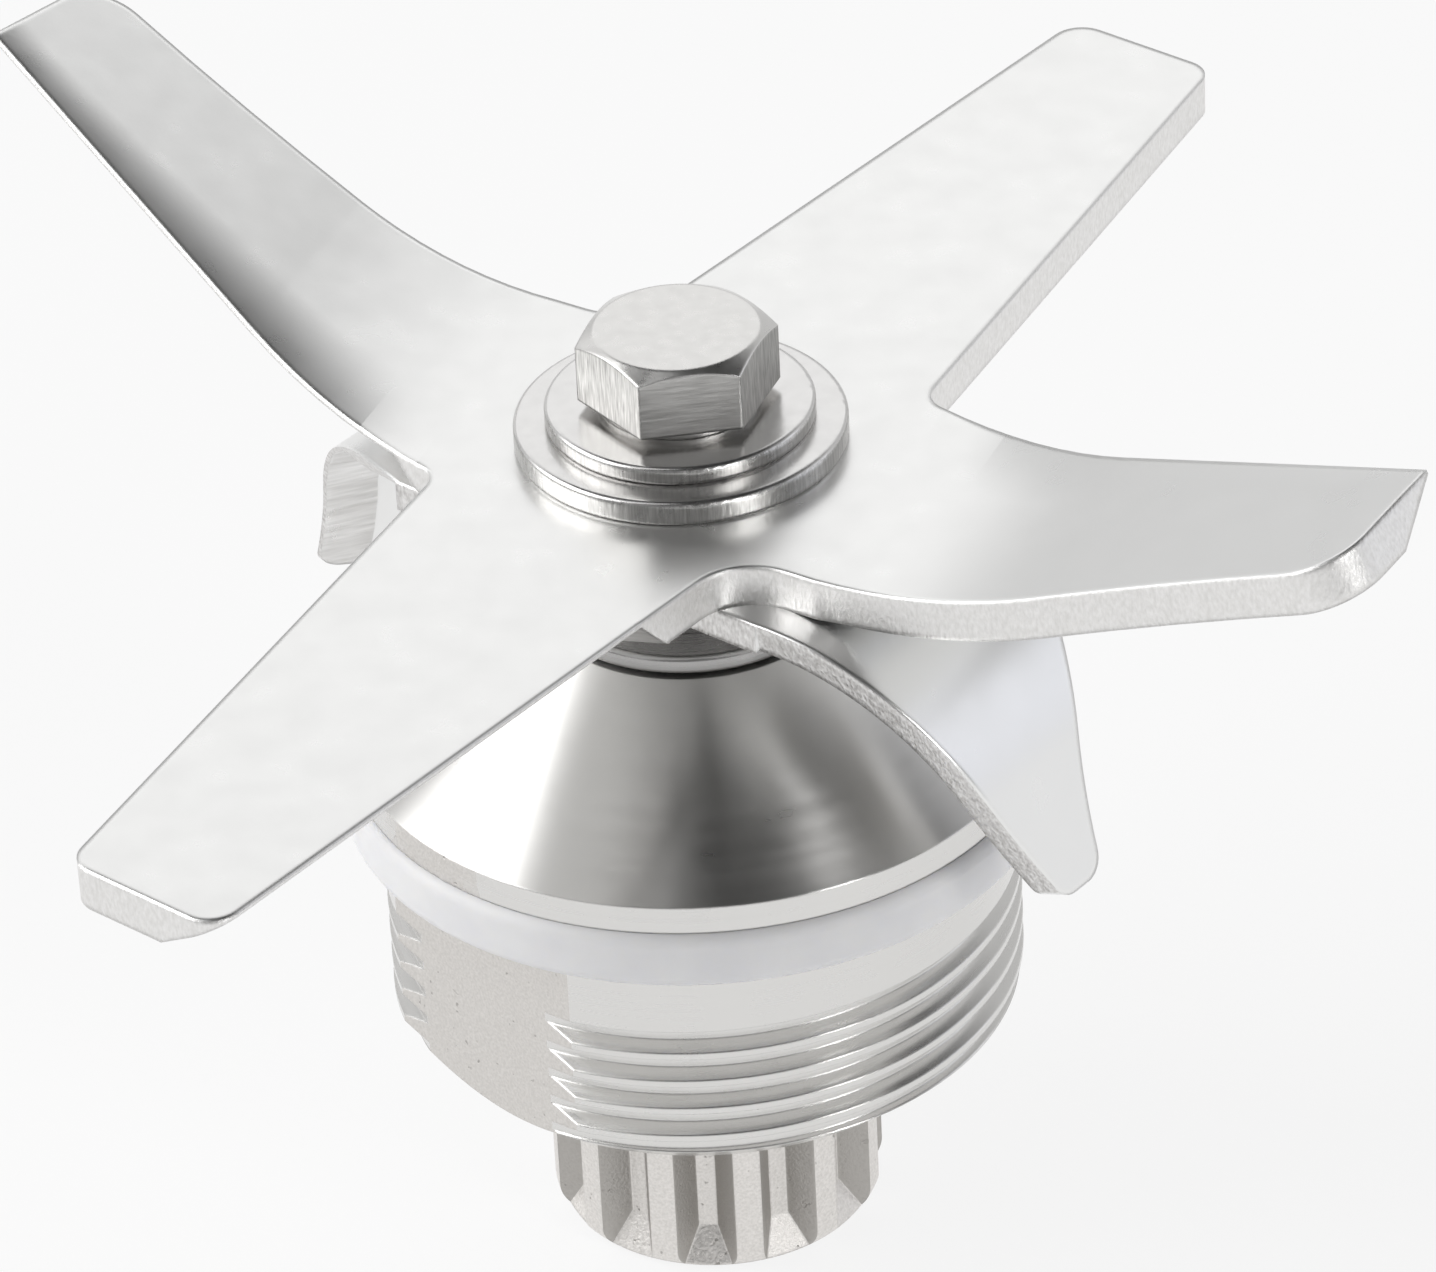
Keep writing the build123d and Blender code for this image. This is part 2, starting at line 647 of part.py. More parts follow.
# An arm of the lower blade: a sheet bent down, with edges cut square to its sloping face
lower_angle = radians(lower_bend_angle)
lower_bend_end = lower_bend_start + lower_bend_radius * sin(lower_angle)
lower_bend_drop = lower_bend_radius * (1 - cos(lower_angle))
lower_root = -lower_bend_radius * sin(lower_angle)
lower_frame = turned_frame(lower_azimuth, upper_blade_z)
lower_section = Plane(origin=lower_frame.origin, x_dir=lower_frame.x_dir, z_dir=-lower_frame.y_dir)
lower_face = Plane(
    origin=lower_frame.from_local_coords((lower_bend_end, 0, -lower_bend_drop)),
    x_dir=lower_frame.x_dir * cos(lower_angle) - lower_frame.z_dir * sin(lower_angle),
    z_dir=lower_frame.z_dir * cos(lower_angle) + lower_frame.x_dir * sin(lower_angle),
)
with BuildPart() as lower_arm:
    with BuildSketch(lower_section):
        with BuildLine():
            drop_bend = RadiusArc(
                (lower_bend_start, 0), (lower_bend_end, -lower_bend_drop), lower_bend_radius
            )
            drop_top = PolarLine(drop_bend @ 1, lower_slope_length, -lower_bend_angle)
            drop_end = PolarLine(drop_top @ 1, lower_blade_thickness, -lower_bend_angle - 90)
            drop_under = PolarLine(drop_end @ 1, lower_slope_length, 180 - lower_bend_angle)
            drop_under_bend = RadiusArc(
                drop_under @ 1,
                (lower_bend_start, -lower_blade_thickness),
                lower_blade_thickness - lower_bend_radius,
            )
            Line(drop_under_bend @ 1, drop_bend @ 0)
        make_face()
    extrude(amount=2 * lower_half_width, both=True)
    with BuildSketch(lower_face):
        with BuildLine():
            lower_lead_tip = (lower_slope_length, lower_lead_tip_offset)
            lower_trail_tip = (lower_slope_length, lower_trail_tip_offset)
            lower_lead = SagittaArc((lower_root, lower_half_width), lower_lead_tip, -lower_lead_bow)
            Line(lower_lead_tip, lower_trail_tip)
            lower_trail = SagittaArc(lower_trail_tip, (lower_root, -lower_half_width), lower_trail_bow)
            Line(lower_trail @ 1, lower_lead @ 0)
        make_face()
        fillet(vertices().sort_by(Axis.X)[-2:], lower_tip_round)
    extrude(amount=lower_bend_radius, both=True, mode=Mode.INTERSECT)
    lower_bevel_step = (lower_lead.length - lower_bevel_start) / bevel_steps
    lower_steps = [lower_bevel_start + lower_bevel_step * i for i in range(bevel_steps + 1)]
    lower_sections = []
    for step in (lower_bevel_start - bevel_runout, *lower_steps):
        step_point = lower_lead.position_at(step, position_mode=PositionMode.LENGTH)
        step_heading = lower_lead.tangent_at(step, position_mode=PositionMode.LENGTH)
        lower_sections.append(
            bevel_section(
                lower_face, -lower_bend_radius, (step_point.X, step_point.Y), (step_heading.X, step_heading.Y)
            )
        )
    lower_wedge = ground_bevel(lower_sections, lower_bevel_width, lower_blade_thickness, lower_bevel_width)
    add(lower_wedge, mode=Mode.SUBTRACT)

# Lower blade: a level bar across the hub, with an arm bent down at each end
with BuildPart() as lower_blade:
    with BuildSketch(turned_frame(lower_azimuth, blade_seat_z)):
        Rectangle(2 * lower_bend_start, 2 * lower_half_width)
    extrude(amount=lower_blade_thickness)
    for turn in (0, 180):
        add(lower_arm.part.rotate(Axis.Z, turn))
    add(drive_boss(blade_seat_z, upper_blade_z, keyed_fit), mode=Mode.SUBTRACT)
write(lower_blade, "lower_blade")


def flat_washer(radius, low, high, name):
    with BuildPart() as washer:
        add(ring_between(washer_hole_radius, radius, low, high))
        fillet(washer.edges().filter_by(GeomType.CIRCLE).group_by(SortBy.RADIUS)[-1], washer_edge_round)
    write(washer, name)


flat_washer(blade_washer_radius, washer_z, bolt_washer_z, "blade_washer")
flat_washer(bolt_washer_radius, bolt_washer_z, bolt_seat_z, "bolt_washer")

# Hex bolt: chamfered head on a round bearing face, and a plain shank
hex_z = bolt_seat_z + bolt_face_height
head_top_z = hex_z + bolt_hex_height
flat_radius = bolt_across_flats / 2
corner_radius = flat_radius / cos(pi / bolt_sides)
bolt_top_radius = flat_radius - bolt_top_inset
corner_drop = (corner_radius - bolt_top_radius) * tan(radians(bolt_crown_angle))
with BuildPart() as hex_bolt:
    with BuildSketch(Plane.XY.offset(hex_z)):
        RegularPolygon(corner_radius, bolt_sides, rotation=bolt_azimuth)
    extrude(amount=bolt_hex_height)
    crown_profile = [
        (0, hex_z),
        (corner_radius, hex_z),
        (corner_radius, head_top_z - corner_drop),
        (bolt_top_radius, head_top_z),
        (0, head_top_z),
    ]
    add(turned(crown_profile), mode=Mode.INTERSECT)
    add(disc(flat_radius - bolt_face_inset, bolt_seat_z, hex_z))
    add(disc(bolt_radius, bolt_seat_z - bolt_length, bolt_seat_z))
    chamfer(hex_bolt.faces().sort_by(Axis.Z)[0].edges(), bolt_chamfer)
write(hex_bolt, "hex_bolt")
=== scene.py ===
import math

import bpy
from mathutils import Matrix, Vector

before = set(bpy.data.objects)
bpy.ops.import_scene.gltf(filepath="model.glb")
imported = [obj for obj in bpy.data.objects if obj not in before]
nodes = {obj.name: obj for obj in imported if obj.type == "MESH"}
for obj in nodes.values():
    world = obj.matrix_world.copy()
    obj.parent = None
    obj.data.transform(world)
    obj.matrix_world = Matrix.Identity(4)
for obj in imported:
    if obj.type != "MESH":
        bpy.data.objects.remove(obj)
scene = bpy.context.scene
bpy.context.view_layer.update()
print("stage: frame loaded,", len(nodes), "nodes")


def toLinear(hexColour):
    channels = [int(hexColour[i:i + 2], 16) / 255 for i in (1, 3, 5)]
    return [c / 12.92 if c <= 0.04045 else ((c + 0.055) / 1.055) ** 2.4 for c in channels] + [1.0]


# Fitted to the photograph: about 360 mm from the part, with a long lens
camera = {
    "place": (0.001191, -0.30023, 0.22973),
    "right": (0.99875, -0.02753, -0.04161),
    "up": (0.04990, 0.55110, 0.83294),
    "lens": 196.15,
    "sensorWidth": 36.0,
    "clipStart": 0.01,
}
cameraData = bpy.data.cameras.new("photoCamera")
cameraData.sensor_fit = "HORIZONTAL"
cameraData.sensor_width = camera["sensorWidth"]
cameraData.lens = camera["lens"]
cameraData.clip_start = camera["clipStart"]
cameraObject = bpy.data.objects.new("photoCamera", cameraData)
scene.collection.objects.link(cameraObject)
rightAxis = Vector(camera["right"]).normalized()
upAxis = Vector(camera["up"]).normalized()
backAxis = rightAxis.cross(upAxis)
turn = Matrix((rightAxis, upAxis, backAxis)).transposed().to_4x4()
cameraObject.matrix_world = Matrix.Translation(camera["place"]) @ turn
scene.camera = cameraObject
scene.view_settings.view_transform = "Standard"


# Adds a node with its settings, values and links, and gives back one of its outputs
def addNode(tree, kind, inputs=None, output=0, **settings):
    made = tree.nodes.new("ShaderNode" + kind)
    for key, value in settings.items():
        setattr(made, key, value)
    for key, value in (inputs or {}).items():
        if isinstance(value, bpy.types.NodeSocket):
            tree.links.new(value, made.inputs[key])
        else:
            made.inputs[key].default_value = value
    return made.outputs[output] if made.outputs else made


def newMaterial(name):
    material = bpy.data.materials.new(name)
    material.use_nodes = True
    material.node_tree.nodes.clear()
    return material, material.node_tree


def putOn(node, material):
    slots = nodes[node].data.materials
    slots.clear()
    slots.append(material)


# In every material below, sizes of grains and depths of marks are in mm
metre = 1000.0  # in mm
noiseSpan = {"From Min": 0.3, "From Max": 0.7}  # nearly all of a noise pattern lies between these
edgeSamples = 8  # rays that round an edge's shading


def millimetres(tree):
    place = addNode(tree, "TexCoord", output="Object")
    return addNode(tree, "VectorMath", {0: place, 3: metre}, operation="SCALE")


# How far a face looks along one of its piece's own directions, as a cosine
def looking(tree, direction):
    normal = addNode(tree, "NewGeometry", output="True Normal")
    normal = addNode(tree, "VectorTransform", {0: normal}, vector_type="NORMAL", convert_from="WORLD",
                     convert_to="OBJECT")
    return addNode(tree, "VectorMath", {0: normal, 1: direction}, "Value", operation="DOT_PRODUCT")


# Faces that look along a direction either way, fading in from one cosine to the other
def facing(tree, direction, low, high):
    cosine = addNode(tree, "Math", {0: looking(tree, direction)}, operation="ABSOLUTE")
    return addNode(tree, "MapRange", {"Value": cosine, "From Min": low, "From Max": high})


# Faces whose cosine lies between two limits, as a bevel's does
def tilted(tree, direction, low, high):
    cosine = looking(tree, direction)
    above = addNode(tree, "Math", {0: cosine, 1: low}, operation="GREATER_THAN")
    below = addNode(tree, "Math", {0: cosine, 1: high}, operation="LESS_THAN")
    return addNode(tree, "Math", {0: above, 1: below}, operation="MULTIPLY")


# Stainless sheet, stamped and tumbled: a soft satin with faint waviness, brighter than the castings.
# The sheared edges are duller and torn, the ground bevels show the wheel's lines, and each edge is rounded.
# The real satin, tears and wheel lines are finer, and are drawn coarser so that they show.
stampedSheet = {
    "faceHex": "#ececeb",
    "cutHex": "#efeeed",
    "wheelDarkHex": "#cfcecc",
    "wheelLightHex": "#e9e8e7",
    "roughLow": 0.27,
    "roughHigh": 0.31,
    "cutRougher": 0.14,
    "edgeRadius": 0.45,
    "waveSize": 6.25,
    "waveDepth": 0.016,
    "satinSize": 0.25,
    "satinDepth": 0.001,
    "smudgeSize": 2.0,
    "tearSize": (0.16667, 0.16667, 0.33333),
    "wheelSize": (2.9412, 2.9412, 0.29412),
    "wheelDepth": 0.03,
}


def bladeSteel(name, blade, sheared, ground, crown=None):
    sheet = stampedSheet
    material, tree = newMaterial(name)
    place = millimetres(tree)
    onCut = sheared(tree)
    onBevel = ground(tree, place)
    torn = addNode(tree, "VectorMath", {0: place, 1: sheet["tearSize"]}, operation="DIVIDE")
    lined = addNode(tree, "VectorMath", {0: place, 1: sheet["wheelSize"]}, operation="DIVIDE")
    wave = addNode(tree, "TexNoise", {"Vector": place, "Scale": 1 / sheet["waveSize"], "Detail": 1.0})
    satin = addNode(tree, "TexNoise", {"Vector": place, "Scale": 1 / sheet["satinSize"], "Detail": 1.0})
    smudge = addNode(tree, "TexNoise", {"Vector": place, "Scale": 1 / sheet["smudgeSize"], "Detail": 3.0})
    tear = addNode(tree, "TexNoise", {"Vector": torn, "Scale": 1.0, "Detail": 4.0})
    wheel = addNode(tree, "TexNoise", {"Vector": lined, "Scale": 1.0, "Detail": 3.0})
    tearOnCut = addNode(tree, "Math", {0: tear, 1: onCut}, operation="MULTIPLY")
    wheelOnBevel = addNode(tree, "Math", {0: wheel, 1: onBevel}, operation="MULTIPLY")
    marks = [(wave, sheet["waveDepth"]), (satin, sheet["satinDepth"]), (tearOnCut, blade["tornDepth"]),
             (wheelOnBevel, sheet["wheelDepth"])]
    if crown is not None:
        marks.insert(0, (crown(tree, place), 1.0))  # its height is in mm already
    normal = addNode(tree, "Bevel", {"Radius": sheet["edgeRadius"] / metre}, samples=edgeSamples)
    for height, depth in marks:
        normal = addNode(tree, "Bump", {"Height": height, "Distance": depth / metre, "Normal": normal})
    rough = addNode(tree, "MapRange", {"Value": smudge, **noiseSpan, "To Min": sheet["roughLow"],
                                       "To Max": sheet["roughHigh"]})
    rough = addNode(tree, "Math", {0: onCut, 1: sheet["cutRougher"], 2: rough}, operation="MULTIPLY_ADD")
    tearShare = addNode(tree, "MapRange", {"Value": tear, **noiseSpan})
    wheelShare = addNode(tree, "MapRange", {"Value": wheel, **noiseSpan})
    cutColour = addNode(tree, "Mix", {0: tearShare, 6: toLinear(blade["tornHex"]),
                                      7: toLinear(sheet["cutHex"])}, 2, data_type="RGBA")
    wheelColour = addNode(tree, "Mix", {0: wheelShare, 6: toLinear(sheet["wheelDarkHex"]),
                                        7: toLinear(sheet["wheelLightHex"])}, 2, data_type="RGBA")
    colour = addNode(tree, "Mix", {0: onCut, 6: toLinear(sheet["faceHex"]), 7: cutColour}, 2,
                     data_type="RGBA")
    colour = addNode(tree, "Mix", {0: onBevel, 6: colour, 7: wheelColour}, 2, data_type="RGBA")
    steel = addNode(tree, "BsdfPrincipled", {"Base Color": colour, "Metallic": 1.0, "Roughness": rough,
                                             "Normal": normal})
    addNode(tree, "OutputMaterial", {"Surface": steel})
    return material


# Upper blade: the raised arms' leading edges turn down a little more than the others
upperBlade = {
    # Its torn colour is lighter than the lower blade's, as painted light on its sheared edges
    "tornHex": "#e0dfdd",
    "tornDepth": 0.03,
    "cutFrom": 0.55,
    "cutTo": 0.45,
    "bevelFrom": 0.6,
    "bevelTo": 0.89,
    "leadAzimuth": -24.3,
    "leadReach": 20.84,
    "leadOffset": 1.29,
    "leadSlope": -0.5045,
    "crownRoot": 14.0,
    "crownTip": 34.0,
    "rootWidth": 4.6,
    "tipWidth": 2.2,
    "fall": 0.08,
    "fadeFrom": 10.5,
    "fadeTo": 14.0,
}


def leadCrown(tree, place):
    blade = upperBlade
    angle = math.radians(blade["leadAzimuth"])
    along = (math.cos(angle), math.sin(angle), 0)
    aside = (-math.sin(angle), math.cos(angle), 0)
    run = addNode(tree, "VectorMath", {0: place, 1: along}, "Value", operation="DOT_PRODUCT")
    across = addNode(tree, "VectorMath", {0: place, 1: aside}, "Value", operation="DOT_PRODUCT")
    arm = addNode(tree, "Math", {0: run}, operation="SIGN")
    across = addNode(tree, "Math", {0: across, 1: arm}, operation="MULTIPLY")
    run = addNode(tree, "Math", {0: run}, operation="ABSOLUTE")
    # The leading edge is a straight line, and the crown fades with the distance from it
    edge = addNode(tree, "Math", {0: run, 1: blade["leadReach"]}, operation="SUBTRACT")
    edge = addNode(tree, "Math", {0: edge, 1: blade["leadSlope"], 2: blade["leadOffset"]},
                   operation="MULTIPLY_ADD")
    inside = addNode(tree, "Math", {0: edge, 1: across}, operation="SUBTRACT")
    inside = addNode(tree, "Math", {0: inside, 1: math.hypot(1, blade["leadSlope"])}, operation="DIVIDE")
    inside = addNode(tree, "Math", {0: inside}, operation="ABSOLUTE")
    width = addNode(tree, "MapRange", {"Value": run, "From Min": blade["crownRoot"],
                                       "From Max": blade["crownTip"], "To Min": blade["rootWidth"],
                                       "To Max": blade["tipWidth"]})
    near = addNode(tree, "Math", {0: inside, 1: width}, operation="DIVIDE")
    near = addNode(tree, "Math", {0: near, 1: 1.0}, operation="MINIMUM")
    near = addNode(tree, "Math", {0: 1.0, 1: near}, operation="SUBTRACT")
    drop = addNode(tree, "Math", {0: near, 1: 2.0}, operation="POWER")
    drop = addNode(tree, "Math", {0: drop, 1: width}, operation="MULTIPLY")
    drop = addNode(tree, "Math", {0: drop, 1: -blade["fall"]}, operation="MULTIPLY")
    onArm = addNode(tree, "MapRange", {"Value": run, "From Min": blade["fadeFrom"],
                                       "From Max": blade["fadeTo"]})
    return addNode(tree, "Math", {0: drop, 1: onArm}, operation="MULTIPLY")


def upperCut(tree):
    return facing(tree, (0, 0, 1), upperBlade["cutFrom"], upperBlade["cutTo"])


def upperGround(tree, place):
    return tilted(tree, (0, 0, -1), upperBlade["bevelFrom"], upperBlade["bevelTo"])


putOn("upper_blade", bladeSteel("stamped stainless, upper", upperBlade, upperCut, upperGround, leadCrown))

# Lower blade: both arms bend down, and their bevels are found from the way the bent ends face
lowerBlade = {
    "tornHex": "#c4c2c0",
    "tornDepth": 0.06,
    "azimuth": -40,
    "bendAngle": 69.5,
    "cutFrom": 0.7,
    "cutTo": 0.8,
    "bevelFrom": 0.72,
    "bevelTo": 0.93,
}
armAngle = math.radians(lowerBlade["azimuth"])
armTilt = math.radians(lowerBlade["bendAngle"])
armOut = (math.sin(armTilt) * math.cos(armAngle), math.sin(armTilt) * math.sin(armAngle), math.cos(armTilt))


def lowerCut(tree):
    aside = (-math.sin(armAngle), math.cos(armAngle), 0)
    return facing(tree, aside, lowerBlade["cutFrom"], lowerBlade["cutTo"])


def lowerGround(tree, place):
    run = addNode(tree, "VectorMath", {0: place, 1: armOut}, "Value", operation="DOT_PRODUCT")
    masks = []
    for side in (1, -1):
        inward = (-side * armOut[0], -side * armOut[1], -armOut[2])
        bevel = tilted(tree, inward, lowerBlade["bevelFrom"], lowerBlade["bevelTo"])
        onArm = addNode(tree, "Math", {0: run, 1: side}, operation="MULTIPLY")
        onArm = addNode(tree, "Math", {0: onArm, 1: 0.0}, operation="GREATER_THAN")
        masks.append(addNode(tree, "Math", {0: bevel, 1: onArm}, operation="MULTIPLY"))
    return addNode(tree, "Math", {0: masks[0], 1: masks[1]}, operation="MAXIMUM")


putOn("lower_blade", bladeSteel("stamped stainless, lower", lowerBlade, lowerCut, lowerGround))

# Turned stainless: circular tool marks stretch every reflection outward from the axis.
# A fine turning feed is closer than these rings, which are drawn coarser so that they show.
latheMarks = {"coarseRing": 0.45455, "fineRing": 0.22222, "fineShare": 1 / 3, "smudgeSize": 2.5,
              "smudgeRough": 0.03, "rise": 0.83, "stretchTurn": 0.25}


def turnedLayer(tree, place, finish):
    # A number that changes only with radius and height, as a lathe tool's path does
    parts = addNode(tree, "VectorMath", {0: place, 1: (1, 1, 0)}, operation="MULTIPLY")
    radius = addNode(tree, "VectorMath", {0: parts}, "Value", operation="LENGTH")
    height = addNode(tree, "SeparateXYZ", {0: place}, "Z")
    path = addNode(tree, "Math", {0: height, 1: latheMarks["rise"], 2: radius}, operation="MULTIPLY_ADD")
    coarse = addNode(tree, "TexNoise", {"W": path, "Scale": 1 / latheMarks["coarseRing"], "Detail": 2.0},
                     noise_dimensions="1D")
    fine = addNode(tree, "TexNoise", {"W": path, "Scale": 1 / latheMarks["fineRing"], "Detail": 2.0},
                   noise_dimensions="1D")
    smudge = addNode(tree, "TexNoise", {"Vector": place, "Scale": 1 / latheMarks["smudgeSize"],
                                        "Detail": 3.0})
    depth = finish["markDepth"]
    normal = addNode(tree, "Bevel", {"Radius": finish["edgeRadius"] / metre}, samples=edgeSamples)
    for ring, ringDepth in ((coarse, depth), (fine, depth * latheMarks["fineShare"])):
        normal = addNode(tree, "Bump", {"Height": ring, "Distance": ringDepth / metre, "Normal": normal})
    rough = addNode(tree, "MapRange", {"Value": fine, **noiseSpan, "To Min": finish["roughLow"],
                                       "To Max": finish["roughHigh"]})
    rougher = addNode(tree, "MapRange", {"Value": smudge, **noiseSpan, "To Min": -latheMarks["smudgeRough"],
                                         "To Max": latheMarks["smudgeRough"]})
    rough = addNode(tree, "Math", {0: rough, 1: rougher}, operation="ADD")
    tangent = addNode(tree, "Tangent", direction_type="RADIAL", axis="Z")
    return addNode(tree, "BsdfPrincipled", {"Base Color": toLinear(finish["hex"]), "Metallic": 1.0,
                                            "Roughness": rough, "Anisotropic": finish["stretched"],
                                            "Anisotropic Rotation": latheMarks["stretchTurn"],
                                            "Normal": normal, "Tangent": tangent})


# Cast stainless left as it came from the mould and blasted: matte, warm and grainy with small pits.
# Blasting grit leaves finer dents than this sand, which is drawn coarser so that it shows.
castSkin = {
    "darkHex": "#d8d5d1",
    "lightHex": "#efece9",
    # darkerHex: painted shade on the coupling's flanks, and the darker tone of the housing's flats
    "darkerHex": "#b6b3af",
    "pitHex": "#b3b0ac",
    "roughLow": 0.42,
    "roughHigh": 0.55,
    "edgeRadius": 0.2,
    "lumpSize": 1.4286,
    "lumpDepth": 0.03,
    "sandSize": 0.14286,
    "sandDepth": 0.035,
    "pitSize": 0.52632,
    "pitDepth": 0.03,
    "pitFrom": 0.69,
    "pitTo": 0.74,
}


def castLayer(tree, place, darkerShare):
    skin = castSkin
    lumps = addNode(tree, "TexNoise", {"Vector": place, "Scale": 1 / skin["lumpSize"], "Detail": 3.0})
    sand = addNode(tree, "TexNoise", {"Vector": place, "Scale": 1 / skin["sandSize"], "Detail": 4.0})
    pits = addNode(tree, "TexNoise", {"Vector": place, "Scale": 1 / skin["pitSize"], "Detail": 2.0})
    pits = addNode(tree, "MapRange", {"Value": pits, "From Min": skin["pitFrom"], "From Max": skin["pitTo"]})
    level = addNode(tree, "Math", {0: 1.0, 1: pits}, operation="SUBTRACT")
    normal = addNode(tree, "Bevel", {"Radius": skin["edgeRadius"] / metre}, samples=edgeSamples)
    for height, depth in ((lumps, skin["lumpDepth"]), (sand, skin["sandDepth"]), (level, skin["pitDepth"])):
        normal = addNode(tree, "Bump", {"Height": height, "Distance": depth / metre, "Normal": normal})
    rough = addNode(tree, "MapRange", {"Value": sand, **noiseSpan, "To Min": skin["roughLow"],
                                       "To Max": skin["roughHigh"]})
    sandShare = addNode(tree, "MapRange", {"Value": sand, **noiseSpan})
    colour = addNode(tree, "Mix", {0: sandShare, 6: toLinear(skin["darkHex"]), 7: toLinear(skin["lightHex"])},
                     2, data_type="RGBA")
    # Mixed towards the darker colour by the share given: painted shade on the coupling's flanks
    colour = addNode(tree, "Mix", {0: darkerShare, 6: colour, 7: toLinear(skin["darkerHex"])}, 2,
                     data_type="RGBA")
    colour = addNode(tree, "Mix", {0: pits, 6: colour, 7: toLinear(skin["pitHex"])}, 2, data_type="RGBA")
    return addNode(tree, "BsdfPrincipled", {"Base Color": colour, "Metallic": 1.0, "Roughness": rough,
                                            "Normal": normal})


# Coupling: the teeth's flanks are mixed towards a darker colour as painted shade, and lands and floors keep
# the blasted skin's colour
coupling = {"flankFrom": 0.68, "flankTo": 0.85}


def castSteel(name):
    material, tree = newMaterial(name)
    place = millimetres(tree)
    level = addNode(tree, "VectorMath", {0: place, 1: (1, 1, 0)}, operation="MULTIPLY")
    outward = addNode(tree, "VectorMath", {0: level}, operation="NORMALIZE")
    # Painted shade: faces that look sideways rather than outward from the axis, the tooth flanks, get the
    # darker colour
    flankShade = addNode(tree, "MapRange", {"Value": looking(tree, outward), "From Min": coupling["flankFrom"],
                                       "From Max": coupling["flankTo"], "To Min": 1.0, "To Max": 0.0})
    addNode(tree, "OutputMaterial", {"Surface": castLayer(tree, place, flankShade)})
    return material


putOn("drive_coupling", castSteel("cast stainless"))

# Housing: the cone is brushed on the lathe, neck and thread are cut bright, and the flats keep the cast skin
housing = {
    "coneFoot": 27.15,
    "flatAzimuth": -140,
    "flatDistance": 13.55,
    "flatMargin": 0.05,
    "flatFrom": 0.97,
    "flatTo": 0.985,
    # the flats are mixed this share of the way to the cast skin's darker colour
    "flatDarkerShare": 0.25,
    "cone": {"hex": "#d6d5d3", "roughLow": 0.3, "roughHigh": 0.33, "stretched": 0.92, "markDepth": 0.0009,
             "edgeRadius": 0.1},
    "thread": {"hex": "#dddcda", "roughLow": 0.22, "roughHigh": 0.28, "stretched": 0.3, "markDepth": 0.001,
               "edgeRadius": 0.16},
}


def housingSteel(name):
    material, tree = newMaterial(name)
    place = millimetres(tree)
    cone = turnedLayer(tree, place, housing["cone"])
    thread = turnedLayer(tree, place, housing["thread"])
    flat = castLayer(tree, place, housing["flatDarkerShare"])
    height = addNode(tree, "SeparateXYZ", {0: place}, "Z")
    onCone = addNode(tree, "Math", {0: height, 1: housing["coneFoot"]}, operation="GREATER_THAN")
    turned = addNode(tree, "MixShader", {0: onCone, 1: thread, 2: cone})
    angle = math.radians(housing["flatAzimuth"])
    across = (math.cos(angle), math.sin(angle), 0)
    out = addNode(tree, "VectorMath", {0: place, 1: across}, "Value", operation="DOT_PRODUCT")
    out = addNode(tree, "Math", {0: out}, operation="ABSOLUTE")
    far = addNode(tree, "Math", {0: out, 1: housing["flatDistance"] - housing["flatMargin"]},
                  operation="GREATER_THAN")
    onFlat = facing(tree, across, housing["flatFrom"], housing["flatTo"])
    onFlat = addNode(tree, "Math", {0: onFlat, 1: far}, operation="MULTIPLY")
    addNode(tree, "OutputMaterial", {"Surface": addNode(tree, "MixShader", {0: onFlat, 1: turned, 2: flat})})
    return material


putOn("bearing_housing", housingSteel("turned stainless casting"))

# Cold-formed fastener steel: a bright pressed top, and duller sides with the lines of the drawing die. On the
# bolt the sides are darker partly as painted shade, and its faces along Y are lifted back with painted light.
# The die's lines are finer on the real pieces, and are drawn coarser so that they show.
formedSteel = {
    "uprightSize": (0.090909, 0.090909, 1.13636),
    "levelSize": (1.81818, 1.81818, 0.174825),
    "skinSize": 0.33333,
    "skinDepth": 0.004,
    "smudgeSize": 0.714286,
    "sideFrom": 0.6,
    "sideTo": 0.5,
    "sideRougher": 0.06,
    "frontFrom": 0.7,
    "frontTo": 0.85,
    "frontPaintedLight": 0.4,
}
# frontLines: where it is 1, the faces along Y carry level lines and painted light that lifts them towards the
# top's colour, and the others upright ones
# The bolt's side and line colours are darker than its top partly as painted shade
bolt = {"topHex": "#dcdbd9", "sideHex": "#c9c8c6", "lineHex": "#939290", "frontLines": 1.0, "roughLow": 0.26,
        "roughHigh": 0.32, "lineDepth": 0.01, "edgeRadius": 0.2}
washers = {"topHex": "#d9d8d7", "sideHex": "#d3d2d0", "lineHex": "#adacaa", "frontLines": 0.0,
           "roughLow": 0.2, "roughHigh": 0.26, "lineDepth": 0.009, "edgeRadius": 0.2}


